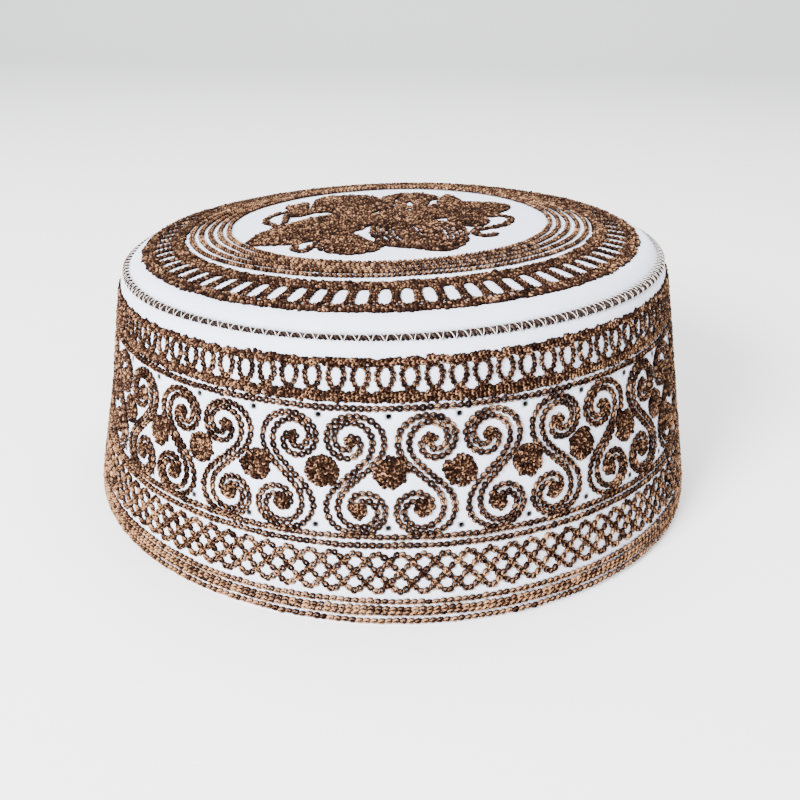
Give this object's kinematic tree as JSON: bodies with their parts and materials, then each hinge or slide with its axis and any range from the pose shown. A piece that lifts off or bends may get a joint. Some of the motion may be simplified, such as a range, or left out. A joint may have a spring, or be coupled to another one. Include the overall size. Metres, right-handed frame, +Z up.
{
  "type": "embroidered kufi cap",
  "caption": "Round brimless kufi cap: tapered side band pierced with eyelets, low domed crown and a braid over the seam, open below for the head.",
  "frame": {"origin": "the middle of the rim, in the plane that the cap rests on", "axes": "+Z up from the rim to the crown, -Y to the front of the cap, +X towards its higher side"},
  "size_m": [0.1899, 0.1898, 0.0809],
  "materials": {
    "white_cotton": "matt white cotton, fine plain weave",
    "brown_thread": "soft-sheen brown embroidery thread in chain stitch, shaded from dark to golden brown",
    "white_thread": "thin off-white sewing thread"
  },
  "bodies": {
    "root": {"side_band": "white_cotton", "crown_panel": "white_cotton", "seam_braid": "brown_thread"}
  },
  "joints": []
}
